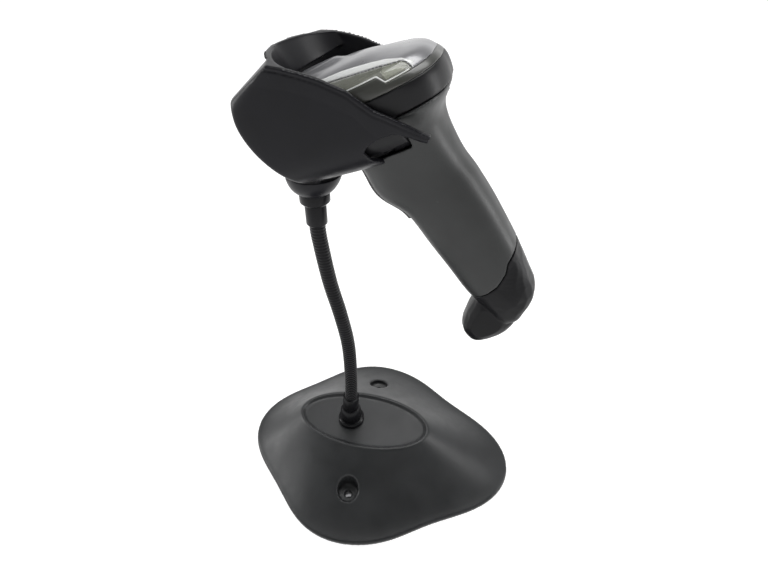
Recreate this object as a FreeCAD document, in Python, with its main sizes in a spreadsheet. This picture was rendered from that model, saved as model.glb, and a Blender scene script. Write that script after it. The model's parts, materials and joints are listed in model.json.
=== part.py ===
import math
import os
import FreeCAD
import Part
import Sketcher

# A cordless handheld barcode scanner and the gooseneck stand that it rests in.
# Row frame, in mm: +Z up, +Y towards the scanner's grip, +X to its right-hand side seen from the nose.
# The origin is on the floor, at the centre of the base outline.
# The scanner is drawn in a frame of its own, level, with its nose towards -Y and the parting line of
# its bumper at z = 0. One placement then pitches it into the stand's cradle.

Vector = FreeCAD.Vector
doc = FreeCAD.newDocument("barcode_scanner")
sheet = doc.addObject("Spreadsheet::Sheet", "sizes")

DRIVING_SIZES = [
    # base
    ("base_mean_rad", 90.2, "mean radius of the base outline"),
    ("base_wall", 2.6, "wall of the base cover"),
    ("base_rim_low", 1.0, "lower edge of the cover's rim"),
    ("base_rim_high", 5.0, "upper edge of the cover's rim"),
    ("base_top", 36.0, "height of the base's crown"),
    ("crown_long", 53.8, "half length of the oval crown"),
    ("crown_wide", 26.2, "half width of the oval crown"),
    ("crown_shift", -7.4, "crown centre along Y"),
    ("crown_sink", 2.0, "depth of the oval recess in the crown"),
    ("crown_lip", 2.4, "width of the ridge round the recess"),
    ("pad_thick", 1.5, "non-slip pad thickness"),
    ("pad_inset", 3.4, "pad and ballast inset from the outline"),
    ("ballast_thick", 5.0, "steel ballast plate thickness"),
    ("bench_gap", 104.0, "distance between the two bench screw holes"),
    ("bench_shift", -7.0, "bench screw holes along Y"),
    ("bench_hole", 5.2, "bench screw hole diameter"),
    ("bench_sink", 16.0, "counterbore diameter"),
    ("bench_floor", 11.0, "height of the counterbore floor"),
    ("boss_rad", 4.5, "radius of the cover's screw bosses"),
    ("base_screw_rad", 1.6, "base screw shank radius"),
    # neck
    ("foot_y", -18.0, "neck foot along Y"),
    ("neck_rad", 4.85, "flexible neck outer radius"),
    ("knuckle_rad", 2.6, "ball at each bending point"),
    ("knuckle_gap", 0.3, "clearance round each ball"),
    ("knuckle_relief", 2.2, "gap from a bending point to the tube end above or below"),
    ("bend_low_y", -16.8, "lower bending point along Y"),
    ("bend_low_z", 66.0, "lower bending point height"),
    ("bend_mid_y", -16.6, "middle bending point along Y"),
    ("bend_mid_z", 124.0, "middle bending point height"),
    ("bend_top_y", -26.0, "upper bending point along Y"),
    ("bend_top_z", 178.0, "upper bending point height"),
    ("neck_top_y", -30.6, "top of the flexible neck along Y"),
    ("neck_top_z", 221.0, "top of the flexible neck"),
    ("collar_rad", 10.5, "base collar radius"),
    ("collar_high", 4.0, "base collar height"),
    ("gland_rad", 8.2, "threaded gland radius at the neck foot"),
    ("gland_high", 12.0, "gland height"),
    ("ferrule_rad", 6.3, "neck ferrule radius"),
    ("stud_rad", 6.0, "threaded stud under the collar"),
    ("nut_flats", 19.0, "neck nut across flats"),
    ("nut_high", 6.0, "neck nut height"),
    ("coupler_rad", 8.8, "coupler ring radius"),
    ("coupler_high", 7.5, "coupler ring height"),
    ("sleeve_high", 14.0, "upper ferrule height"),
    # cradle
    ("cup_half", 38.0, "cradle half width"),
    ("cup_wall", 2.4, "cradle wall"),
    ("cup_low", -33.0, "lowest point of the cradle in the scanner's frame"),
    ("cup_screw_y", -40.0, "screws between cup and bracket, along y"),
    ("grip_slot", 25.5, "half width of the slot that the grip passes through"),
    # scanner
    ("scanner_pitch", 25.0, "nose-down pitch of the resting scanner, degrees"),
    ("scanner_lift", 300.0, "height of the scanner's own origin"),
    ("head_half", 34.4, "half width of the head"),
    ("shell_wall", 2.0, "wall of the scanner's shells"),
    ("seam_gap", 0.3, "clearance at seams between parts that come apart"),
    ("bumper_low", -10.5, "lower edge of the rubber-faced bumper"),
    ("chin_low", -27.0, "underside of the head ahead of the grip"),
    ("step_y", 18.0, "where the grip's top edge steps up behind the head's underside"),
    # trigger
    ("trigger_half", 9.0, "half width of the trigger"),
    ("trigger_top", -30.0, "upper end of the trigger"),
    ("trigger_end", -68.0, "lower end of the trigger"),
    ("trigger_proud", 1.2, "how far the trigger stands proud of the grip"),
    ("pivot_y", -8.4, "trigger pin along y"),
    ("pivot_z", -33.0, "trigger pin height"),
    ("pin_rad", 1.2, "trigger pin radius"),
    # innards
    ("cell_rad", 9.2, "battery cell radius"),
    ("cell_long", 65.0, "battery cell length"),
    ("cell_y", 21.0, "battery cell centre along y"),
    ("cell_z", -88.0, "battery cell centre height"),
    ("cell_tilt", 10.5, "lean of the battery cell, degrees"),
    ("board_thick", 1.6, "circuit board thickness"),
]

sheet.set("A1", "name")
sheet.set("B1", "value")
sheet.set("C1", "meaning")
for row, (alias, value, meaning) in enumerate(DRIVING_SIZES, start=2):
    sheet.set(f"A{row}", alias)
    sheet.set(f"B{row}", str(value))
    sheet.set(f"C{row}", meaning)
    sheet.setAlias(f"B{row}", alias)
doc.recompute()

parts = []


def size(alias):
    """The sheet's number for one alias."""
    return float(sheet.get(alias))


def worked_out(expression):
    """The number that a sheet expression gives now."""
    return float(FreeCAD.Units.Quantity(str(sheet.evalExpression(expression))).Value)


# ---------------------------------------------------------------- placements

UPRIGHT = FreeCAD.Placement()
SCANNER = FreeCAD.Placement(
    Vector(0, 0, size("scanner_lift")),
    FreeCAD.Rotation(Vector(1, 0, 0), size("scanner_pitch")),
)


def lean_to(y0, z0, y1, z1):
    """A placement at (y0, z0) whose own +Z points at (y1, z1), both in the plane x = 0."""
    lean = math.degrees(math.atan2(y1 - y0, z1 - z0))
    return FreeCAD.Placement(Vector(0, y0, z0), FreeCAD.Rotation(Vector(1, 0, 0), -lean))


# ------------------------------------------------------------ document helpers


def finish_part(item, name, placement):
    """Label an object as a sub-part and set its place."""
    item.Label = name
    item.Placement = placement
    parts.append(item)
    return item


def primitive(kind, name, place=None, **bound):
    """A Part primitive whose sizes are bound to sheet expressions."""
    item = doc.addObject("Part::" + kind, name)
    for prop, expression in bound.items():
        item.setExpression(prop, expression)
    if place is not None:
        item.Placement = place
    return item


def at(x, y, z, axis=(0, 0, 1), angle=0.0):
    return FreeCAD.Placement(Vector(x, y, z), FreeCAD.Rotation(Vector(*axis), angle))


def cut_from(name, base, tool):
    item = doc.addObject("Part::Cut", name)
    item.Base = base
    item.Tool = tool
    return item


def common(name, base, tool):
    item = doc.addObject("Part::Common", name)
    item.Base = base
    item.Tool = tool
    return item


def formed(name, shape):
    """A free-form solid that no feature gives, made with Part's own functions."""
    item = doc.addObject("Part::Feature", name)
    item.Shape = shape
    return item


def grouped(name, shapes):
    """Several separate identical solids in one sub-part."""
    return formed(name, Part.makeCompound(shapes))


def origin_plane(body, role):
    for feature in body.Origin.OriginFeatures:
        if feature.Role == role:
            return feature
    raise ValueError(role)


def closed_outline(body, name, role, corners, offset="0 mm"):
    """A sketch of straight edges whose corners are pairs of sheet expressions in mm."""
    sketch = body.newObject("Sketcher::SketchObject", name)
    sketch.AttachmentSupport = [(origin_plane(body, role), "")]
    sketch.MapMode = "FlatFace"
    sketch.setExpression("AttachmentOffset.Base.z", offset)
    spots = [Vector(worked_out(a), worked_out(b), 0) for a, b in corners]
    for i, spot in enumerate(spots):
        sketch.addGeometry(Part.LineSegment(spot, spots[(i + 1) % len(spots)]), False)
    for i in range(len(spots)):
        sketch.addConstraint(Sketcher.Constraint("Coincident", i, 2, (i + 1) % len(spots), 1))
    for i, (a, b) in enumerate(corners):
        for kind, expression in (("DistanceX", a), ("DistanceY", b)):
            number = sketch.addConstraint(
                Sketcher.Constraint(kind, -1, 1, i, 1, worked_out(expression))
            )
            sketch.setExpression(f"Constraints[{number}]", expression)
    return sketch


def circles(body, name, role, rounds, offset="0 mm"):
    """A sketch of circles: each is (centre, centre, radius) as sheet expressions in mm."""
    sketch = body.newObject("Sketcher::SketchObject", name)
    sketch.AttachmentSupport = [(origin_plane(body, role), "")]
    sketch.MapMode = "FlatFace"
    sketch.setExpression("AttachmentOffset.Base.z", offset)
    for i, (a, b, radius) in enumerate(rounds):
        centre = Vector(worked_out(a), worked_out(b), 0)
        sketch.addGeometry(Part.Circle(centre, Vector(0, 0, 1), worked_out(radius)), False)
        kinds = (("DistanceX", a, (-1, 1, i, 3)), ("DistanceY", b, (-1, 1, i, 3)), ("Radius", radius, (i,)))
        for kind, expression, targets in kinds:
            number = sketch.addConstraint(
                Sketcher.Constraint(kind, *targets, worked_out(expression))
            )
            sketch.setExpression(f"Constraints[{number}]", expression)
    return sketch


def turned(name, placement, corners):
    """A body turned about its own Z from a profile of (radius, height) expressions."""
    body = doc.addObject("PartDesign::Body", name)
    sketch = closed_outline(body, name + "_profile", "XZ_Plane", corners)
    spin = body.newObject("PartDesign::Revolution", name + "_turning")
    spin.Profile = sketch
    spin.ReferenceAxis = (sketch, ["V_Axis"])
    spin.Angle = 360.0
    sketch.Visibility = False
    return finish_part(body, name, placement)


def padded(name, placement, role, corners, depth, offset="0 mm", holes=()):
    """A body padded from a straight-edged outline, with round holes right through it."""
    body = doc.addObject("PartDesign::Body", name)
    sketch = closed_outline(body, name + "_outline", role, corners, offset)
    pad = body.newObject("PartDesign::Pad", name + "_pad")
    pad.Profile = sketch
    pad.setExpression("Length", depth)
    if holes:
        hole_sketch = circles(body, name + "_holes", role, holes, offset)
        pocket = body.newObject("PartDesign::Pocket", name + "_pocket")
        pocket.Profile = hole_sketch
        pocket.Type = "ThroughAll"
        pocket.Midplane = True
    return finish_part(body, name, placement)


def box_corners(x0, x1, y0, y1):
    """The four corners of a rectangle from expressions or numbers in mm."""
    xs = [str(v) if isinstance(v, str) else f"{v} mm" for v in (x0, x1)]
    ys = [str(v) if isinstance(v, str) else f"{v} mm" for v in (y0, y1)]
    return [(xs[0], ys[0]), (xs[1], ys[0]), (xs[1], ys[1]), (xs[0], ys[1])]


# ------------------------------------------------------------- free-form solids


def spline_wire(points):
    """A smooth closed curve through the points."""
    curve = Part.BSplineCurve()
    curve.interpolate(Points=points, PeriodicFlag=True, Parameters=list(range(len(points) + 1)))
    return Part.Wire(curve.toShape())


def skin(wires):
    """A closed solid through closed curves."""
    solid = Part.makeLoft(wires, True, False)
    if solid.Volume < 0:
        solid.reverse()
    return solid


def side_prism(points, half):
    """A prism across the width, whose side view in (y, z) is a polygon."""
    wire = Part.makePolygon([Vector(-half, y, z) for y, z in points + points[:1]])
    return Part.Face(wire).extrude(Vector(2 * half, 0, 0))


def block(x0, x1, y0, y1, z0, z1):
    return Part.makeBox(x1 - x0, y1 - y0, z1 - z0, Vector(x0, y0, z0))


def rod(radius, start, end):
    """A round bar from one point to another."""
    start, end = Vector(*start), Vector(*end)
    return Part.makeCylinder(radius, (end - start).Length, start, end - start)


def rounded_box_spot(turn, across, along, squareness):
    """The point of a rounded box (a superellipse) in the direction of a turn from its long axis."""
    side, ahead = math.sin(turn), math.cos(turn)
    reach = (abs(side / across) ** squareness + abs(ahead / along) ** squareness) ** (-1 / squareness)
    return reach * side, reach * ahead


def plan_outline(level, half, nose, back, squareness, inset=0.0, points=28):
    """A rounded-box outline in a level plane: half width, nose and back limits."""
    middle = (nose + back) / 2
    reach = (back - nose) / 2 - inset
    curve = []
    for i in range(points):
        turn = 2 * math.pi * i / points
        x, y = rounded_box_spot(turn, half - inset, reach, squareness)
        curve.append(Vector(x, middle + y, level))
    return spline_wire(curve)


# ------------------------------------------------------------------------ base

OUTLINE_WAVES = {1: 0.017, 2: 0.110, 3: 0.038, 4: 0.076, 6: 0.018}
OUTLINE_POINTS = 48
BENCH_X = size("bench_gap") / 2
NUT_ACCESS = 17.0
BOSS_PLACES = [(30, 40), (-30, 40), (30, -52), (-30, -52)]


def base_outline(level, inset=0.0, towards_crown=0.0):
    """The four-lobed base outline, moved part of the way to the oval crown."""
    curve = []
    for i in range(OUTLINE_POINTS):
        turn = 2 * math.pi * i / OUTLINE_POINTS
        wave = 1 + sum(part * math.cos(n * turn) for n, part in OUTLINE_WAVES.items())
        reach = size("base_mean_rad") * wave - inset
        outer = Vector(reach * math.sin(turn), reach * math.cos(turn), level)
        crown = Vector(
            (size("crown_wide") - inset) * math.sin(turn),
            size("crown_shift") + (size("crown_long") - inset) * math.cos(turn),
            level,
        )
        curve.append(outer + (crown - outer) * towards_crown)
    return spline_wire(curve)


def dome(inset, drop):
    """The base's solid form: an upright rim and a hollow-sided slope up to the crown."""
    low, high, top = size("base_rim_low"), size("base_rim_high") - drop, size("base_top") - drop
    rim = Part.Face(base_outline(low, inset)).extrude(Vector(0, 0, high - low))
    sections = []
    for share in (0.0, 0.12, 0.3, 0.5, 0.7, 0.88, 1.0):
        rise = share ** 1.35
        sections.append(base_outline(high + (top - high) * rise, inset, share))
    return rim.fuse(skin(sections)).removeSplitter()


def make_base():
    outer = dome(0.0, 0.0)
    cover = outer.cut(dome(size("base_wall"), size("base_wall")))
    cover = cover.cut(block(-120, 120, -120, 120, -1, size("base_rim_low")))
    plate_top = size("pad_thick") + size("ballast_thick")
    bench_y = size("bench_shift")
    posts = [rod(size("bench_sink") / 2 + 2, (x, bench_y, plate_top), (x, bench_y, 40))
             for x in (BENCH_X, -BENCH_X)]
    posts += [rod(size("boss_rad"), (x, y, plate_top), (x, y, 40)) for x, y in BOSS_PLACES]
    for post in posts:
        cover = cover.fuse(post.common(outer))
    recess_floor = size("base_top") - size("crown_sink")
    recess = Part.Face(base_outline(recess_floor, size("crown_lip"), 1.0)).extrude(Vector(0, 0, 9))
    crown_floor = Part.Face(base_outline(recess_floor - size("base_wall"), size("crown_lip") - 1, 1.0))
    cover = cover.fuse(crown_floor.extrude(Vector(0, 0, size("base_wall")))).cut(recess)
    for x in (BENCH_X, -BENCH_X):
        y = size("bench_shift")
        cover = cover.cut(rod(size("bench_hole") / 2, (x, y, 0), (x, y, 40)))
        cover = cover.cut(rod(size("bench_sink") / 2, (x, y, size("bench_floor")), (x, y, 40)))
    for x, y in BOSS_PLACES:
        cover = cover.cut(rod(size("base_screw_rad"), (x, y, 0), (x, y, 16)))
    cover = cover.cut(rod(size("stud_rad"), (0, size("foot_y"), 20), (0, size("foot_y"), 40)))
    finish_part(formed("base_cover_form", cover.removeSplitter()), "base_cover", UPRIGHT)

    ballast = Part.Face(base_outline(size("pad_thick"), size("pad_inset"))).extrude(
        Vector(0, 0, size("ballast_thick")))
    clear = size("base_wall") + size("seam_gap")
    ballast = ballast.common(dome(clear, clear))
    ballast = ballast.cut(rod(NUT_ACCESS, (0, size("foot_y"), 0), (0, size("foot_y"), 10)))
    pad = Part.Face(base_outline(0, size("pad_inset"))).extrude(Vector(0, 0, size("pad_thick")))
    screws = []
    head_rad, head_high = 3.4, 2.0
    for x, y in BOSS_PLACES:
        base = size("pad_thick")
        head = Part.makeCone(head_rad, size("base_screw_rad"), head_high, Vector(x, y, base))
        shank = rod(size("base_screw_rad"), (x, y, base + head_high), (x, y, 15))
        screws.append(head.fuse(shank).removeSplitter())
        ballast = ballast.cut(head).cut(rod(size("base_screw_rad"), (x, y, 0), (x, y, 15)))
    for x in (BENCH_X, -BENCH_X):
        hole = rod(size("bench_hole") / 2, (x, size("bench_shift"), -1), (x, size("bench_shift"), 15))
        ballast = ballast.cut(hole)
        pad = pad.cut(hole)
    finish_part(formed("ballast_form", ballast), "ballast_plate", UPRIGHT)
    finish_part(formed("pad_form", pad), "non_slip_pad", UPRIGHT)
    finish_part(grouped("base_screw_set", screws), "base_screws", UPRIGHT)


# ------------------------------------------------------------------------ neck


def make_neck():
    foot = at(0, size("foot_y"), size("base_top") - size("crown_sink"))
    low = (size("bend_low_y"), size("bend_low_z"))
    mid = (size("bend_mid_y"), size("bend_mid_z"))
    top = (size("bend_top_y"), size("bend_top_z"))
    end = (size("neck_top_y"), size("neck_top_z"))
    wall = "(sizes.base_wall + sizes.nut_high + 2)"
    turned("neck_collar", foot, [
        ("sizes.stud_rad * 0.6 * 1 mm", f"-{wall} * 1 mm"),
        ("sizes.stud_rad * 0.98 * 1 mm", f"-{wall} * 1 mm"),
        ("sizes.stud_rad * 0.98 * 1 mm", "0 mm"),
        ("sizes.collar_rad * 1 mm", "0 mm"),
        ("sizes.collar_rad * 1 mm", "sizes.collar_high * 0.7 * 1 mm"),
        ("sizes.collar_rad * 0.9 * 1 mm", "sizes.collar_high * 1 mm"),
        ("sizes.stud_rad * 0.6 * 1 mm", "sizes.collar_high * 1 mm"),
    ])
    nut = doc.addObject("Part::Prism", "nut_form")
    nut.Polygon = 6
    nut.setExpression("Circumradius", "sizes.nut_flats / 1.732 * 1 mm")
    nut.setExpression("Height", "sizes.nut_high * 1 mm")
    bore = primitive("Cylinder", "nut_bore", Radius="sizes.stud_rad * 1 mm", Height="sizes.nut_high * 1 mm")
    nut_base = size("base_top") - size("crown_sink") - size("base_wall") - size("nut_high")
    finish_part(cut_from("nut_cut", nut, bore), "neck_nut", at(0, size("foot_y"), nut_base))

    gland_place = at(0, size("foot_y"), size("base_top") - size("crown_sink") + size("collar_high"))
    turned("neck_gland", gland_place, [
        ("0 mm", "0 mm"),
        ("sizes.gland_rad * 1 mm", "0 mm"),
        ("sizes.gland_rad * 1 mm", "(sizes.gland_high - 3) * 1 mm"),
        ("(sizes.ferrule_rad + 0.6) * 1 mm", "sizes.gland_high * 1 mm"),
        ("0 mm", "sizes.gland_high * 1 mm"),
    ])
    ferrule_z = gland_place.Base.z + size("gland_high")
    ferrule_place = lean_to(size("foot_y"), ferrule_z, *low)
    reach = math.dist((size("foot_y"), ferrule_z), low)
    turned("lower_ferrule", ferrule_place, ball_ended("sizes.ferrule_rad", 0.0, reach, False))
    for name, start, stop in (("neck_lower", low, mid), ("neck_middle", mid, top)):
        reach = math.dist(start, stop)
        turned(name, lean_to(*start, *stop), ball_ended("sizes.neck_rad", None, reach, False))
    turned("neck_upper", lean_to(*top, *end), ball_ended("sizes.neck_rad", None, math.dist(top, end), True))

    sleeve_place = lean_to(*end, end[0] + 0.2, end[1] + 30)
    turned("upper_ferrule", sleeve_place, [
        ("0 mm", "0 mm"),
        ("(sizes.ferrule_rad - 1) * 1 mm", "0 mm"),
        ("sizes.ferrule_rad * 1 mm", "1.2 mm"),
        ("sizes.ferrule_rad * 1 mm", "sizes.sleeve_high * 1 mm"),
        ("0 mm", "sizes.sleeve_high * 1 mm"),
    ])
    ring_place = at(0, end[0] + 0.2, end[1] + size("sleeve_high"))
    turned("coupler_ring", ring_place, [
        ("0 mm", "0 mm"),
        ("(sizes.coupler_rad - 1.8) * 1 mm", "0 mm"),
        ("sizes.coupler_rad * 1 mm", "1.8 mm"),
        ("sizes.coupler_rad * 1 mm", "sizes.coupler_high * 1 mm"),
        ("0 mm", "sizes.coupler_high * 1 mm"),
    ])
    return ring_place.Base.y, ring_place.Base.z + size("coupler_high")


def ball_ended(radius, start, reach, plain_top):
    """Profile of a stretch of neck: a socket below unless it starts flat, and a ball above."""
    outer = f"{radius} * 1 mm"
    gap = size("knuckle_relief")
    ball, socket = size("knuckle_rad"), size("knuckle_rad") + size("knuckle_gap")
    corners = []
    if start is not None:
        corners += [("0 mm", f"{start} mm"), (outer, f"{start} mm")]
    else:
        mouth = math.sqrt(socket ** 2 - gap ** 2)
        corners.append(("0 mm", f"{socket} mm"))
        for turn in (65, 40):
            angle = math.radians(turn)
            if socket * math.sin(angle) > gap:
                corners.append((f"{socket * math.cos(angle)} mm", f"{socket * math.sin(angle)} mm"))
        corners += [(f"{mouth} mm", f"{gap} mm"), (outer, f"{gap} mm")]
    if plain_top:
        return corners + [(outer, f"{reach} mm"), ("0 mm", f"{reach} mm")]
    stem = ball * 0.75
    corners += [(outer, f"{reach - gap} mm"), (f"{stem} mm", f"{reach - gap} mm")]
    for turn in (-45, -20, 10, 40, 65):
        angle = math.radians(turn)
        corners.append((f"{ball * math.cos(angle)} mm", f"{reach + ball * math.sin(angle)} mm"))
    return corners + [("0 mm", f"{reach + ball} mm")]


# ---------------------------------------------------------------------- cradle

CUP_SECTIONS = [
    # along y, share of the half width, lift of the floor, roof height
    (-68.0, 0.900, 10.0, 12.0),
    (-59.5, 0.952, 8.4, 19.3),
    (-51.0, 0.983, 6.7, 25.0),
    (-42.5, 1.000, 5.2, 29.7),
    (-34.0, 1.000, 3.9, 33.8),
    (-25.5, 1.000, 2.8, 37.2),
    (-17.0, 1.000, 1.8, 40.3),
    (-8.5, 1.000, 1.0, 43.2),
    (0.0, 1.000, 0.4, 45.9),
    (8.5, 1.000, 0.1, 48.2),
    (17.0, 1.000, 0.0, 50.0),
    (25.5, 1.000, 0.0, 51.2),
    (34.0, 1.000, 0.0, 52.0),
]
COLLAR_FRONT, COLLAR_STRAIGHT = -32.5, -10.0
FLOOR_SQUARENESS = 3.2
ROOF_SQUARENESS = 4.6
RIM_LINE = [
    (-40, 34.5), (-31.7, 33.5), (-26, 31), (-16, 25.9), (-9, 21.3), (-3, 16.8), (6, 8.2), (13, -2.5),
    (19.5, -9), (25, -15), (30.5, -22.5), (33, -26),
]
BACK_NOTCH = [
    (33, -26), (30.5, -22.5), (28, -25.5), (23, -19.5), (18, -15.5), (11.5, -15),
    (4, -16.4), (0.5, -19), (1.3, -24), (4.5, -27.5), (4, -40), (80, -40), (80, -26),
]


def cup_solid(inset):
    """The cradle's closed outer or inner form, lofted along y."""
    wires = []
    for y, share, lift, roof in CUP_SECTIONS:
        half = size("cup_half") * share - inset
        low, high = size("cup_low") + lift + inset, roof - inset
        curve = []
        for i in range(32):
            turn = 2 * math.pi * i / 32
            above = math.cos(turn) > 0
            squareness = ROOF_SQUARENESS if above else FLOOR_SQUARENESS
            spot = rounded_box_spot(turn, half, high if above else -low, squareness)
            curve.append(Vector(spot[0], y, spot[1]))
        wires.append(spline_wire(curve))
    return skin(wires)


def plan_wire(across, foremost, straight, bow, level):
    """A level outline that is bowed or rounded at its front and runs straight back from there."""
    back = 90
    front = []
    for turn in range(-90, 91, 15):
        side = math.copysign(abs(math.sin(math.radians(turn))) ** 1.2, turn)
        along = bow * side ** 2
        if straight is not None:
            along = (straight - foremost) * (1 - abs(math.cos(math.radians(turn))) ** 1.2)
        front.append(Vector(across * side, foremost + along, level))
    curve = Part.BSplineCurve()
    curve.interpolate(front)
    corners = [front[-1], Vector(across, back, level), Vector(-across, back, level), front[0]]
    return Part.Wire([curve.toShape()] + Part.makePolygon(corners).Edges)


def behind_front(inset):
    """The space behind the cradle's front: a rounded collar, a hood below it, and the mouth's edge."""
    half = size("cup_half") + 0.8
    collar_foot = 30.0
    wires = [plan_wire(half - inset, COLLAR_FRONT + inset, COLLAR_STRAIGHT, 0, level)
             for level in (60, collar_foot - inset)]
    foremost, foremost_level, bow = -61.0, 9.0, 18.7
    for i in range(22):
        level = 22.5 - 3 * i
        setback = (level - foremost_level) ** 2 / (40 if level > foremost_level else 74)
        reach = 8 * inset if i else 0
        wires.append(plan_wire(1.2 * half, foremost + setback - reach, None, bow, level - inset))
    return Part.makeLoft(wires, True, True)


def inner_curtain(wall):
    """The wall that hangs inside the cup below the collar's front, just ahead of the scanner's crown."""
    half, low, high = size("cup_half") + 0.8, 17.8, 32
    outer, inner = [
        Part.makeLoft([plan_wire(half - inset, COLLAR_FRONT + inset, COLLAR_STRAIGHT, 0, level)
                       for level in (low, high)], True, True)
        for inset in (0, wall)]
    return outer.cut(inner).common(block(-60, 60, -60, -12, low, high)).common(cup_solid(0))


def make_cradle(neck_y, neck_z):
    wall = size("cup_wall")
    cup = cup_solid(0).common(behind_front(0)).cut(cup_solid(wall).common(behind_front(wall)))
    cup = cup.fuse(inner_curtain(wall))
    cup = cup.cut(side_prism(RIM_LINE + [(90, -26), (90, 70), (-40, 70)], 60))
    cup = cup.cut(side_prism(BACK_NOTCH, 60))
    slot = size("grip_slot")
    cup = cup.cut(block(-slot, slot, -24, 60, -60, -6))
    screws, holes = [], []
    for x in (-9, 9):
        y, floor = size("cup_screw_y"), -25.4
        head = rod(2.6, (x, y, floor), (x, y, floor - 1.6))
        shank = rod(1.4, (x, y, floor), (x, y, floor - 9))
        screws.append(head.fuse(shank).removeSplitter())
        holes += [head, shank]
    for hole in holes:
        cup = cup.cut(hole)
    finish_part(formed("cup_form", max(cup.Solids, key=lambda solid: solid.Volume)), "cradle_cup", SCANNER)

    rings = [(size("coupler_rad"), 0, 0), (11.5, 0, 2), (16.0, 1, 12)]
    wires = [Part.Wire(Part.makeCircle(rad, Vector(0, neck_y + dy, neck_z + dz))) for rad, dy, dz in rings]
    bracket = skin(wires).transformGeometry(SCANNER.inverse().toMatrix()).cut(cup_solid(0))
    bracket = min(bracket.Solids, key=lambda solid: solid.CenterOfMass.z)
    for hole in holes:
        bracket = bracket.cut(hole)
    finish_part(formed("bracket_form", bracket), "cup_bracket", SCANNER)
    finish_part(grouped("cup_screw_set", screws), "cup_screws", SCANNER)


# ------------------------------------------------------------------ scanner head

HEAD_LEVELS = [
    # level, half width share, nose, back, squareness
    (-27.0, 0.66, -30.0, 30.0, 2.7),
    (-24.0, 0.79, -38.5, 34.0, 2.8),
    (-18.0, 0.93, -49.5, 38.2, 2.9),
    (-10.5, 0.985, -51.6, 40.6, 2.85),
    (-4.0, 1.00, -52.0, 40.9, 2.8),
    (0.0, 1.00, -52.0, 39.9, 2.75),
    (3.2, 0.985, -51.7, 37.6, 2.65),
    (6.5, 0.95, -51.0, 34.5, 2.55),
    (9.0, 0.84, -48.0, 28.4, 2.4),
    (12.0, 0.61, -43.0, 17.0, 2.3),
    (14.5, 0.41, -36.0, 6.0, 2.2),
    (16.3, 0.22, -28.0, -4.0, 2.1),
    (17.0, 0.09, -20.0, -10.0, 2.0),
]
COVER_SEAM = [(-90, 6.5), (17.5, 6.4), (20.5, 3.2), (90, 2.4)]
WINDOW_SIDE_VIEW = [
    (-24, 6.5), (17.5, 6.4), (20.5, 3.2), (31.0, 3.1), (29.4, 5.4), (27.5, 7.0), (23.0, 7.8),
    (17.4, 8.8), (8.0, 9.9), (-2.0, 10.9), (-24, 12.4),
]
COLUMN_PLACES = [(24, -30), (-24, -30), (24, 8), (-24, 8)]


def head_solid(inset, drop):
    """The head's closed form, or the hollow inside it."""
    wires = []
    for level, share, nose, back, squareness in HEAD_LEVELS:
        half = size("head_half") * share
        if half <= inset + 1:
            continue
        wires.append(plan_outline(level - drop, half, nose, back, squareness, inset))
    return skin(wires)


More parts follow.
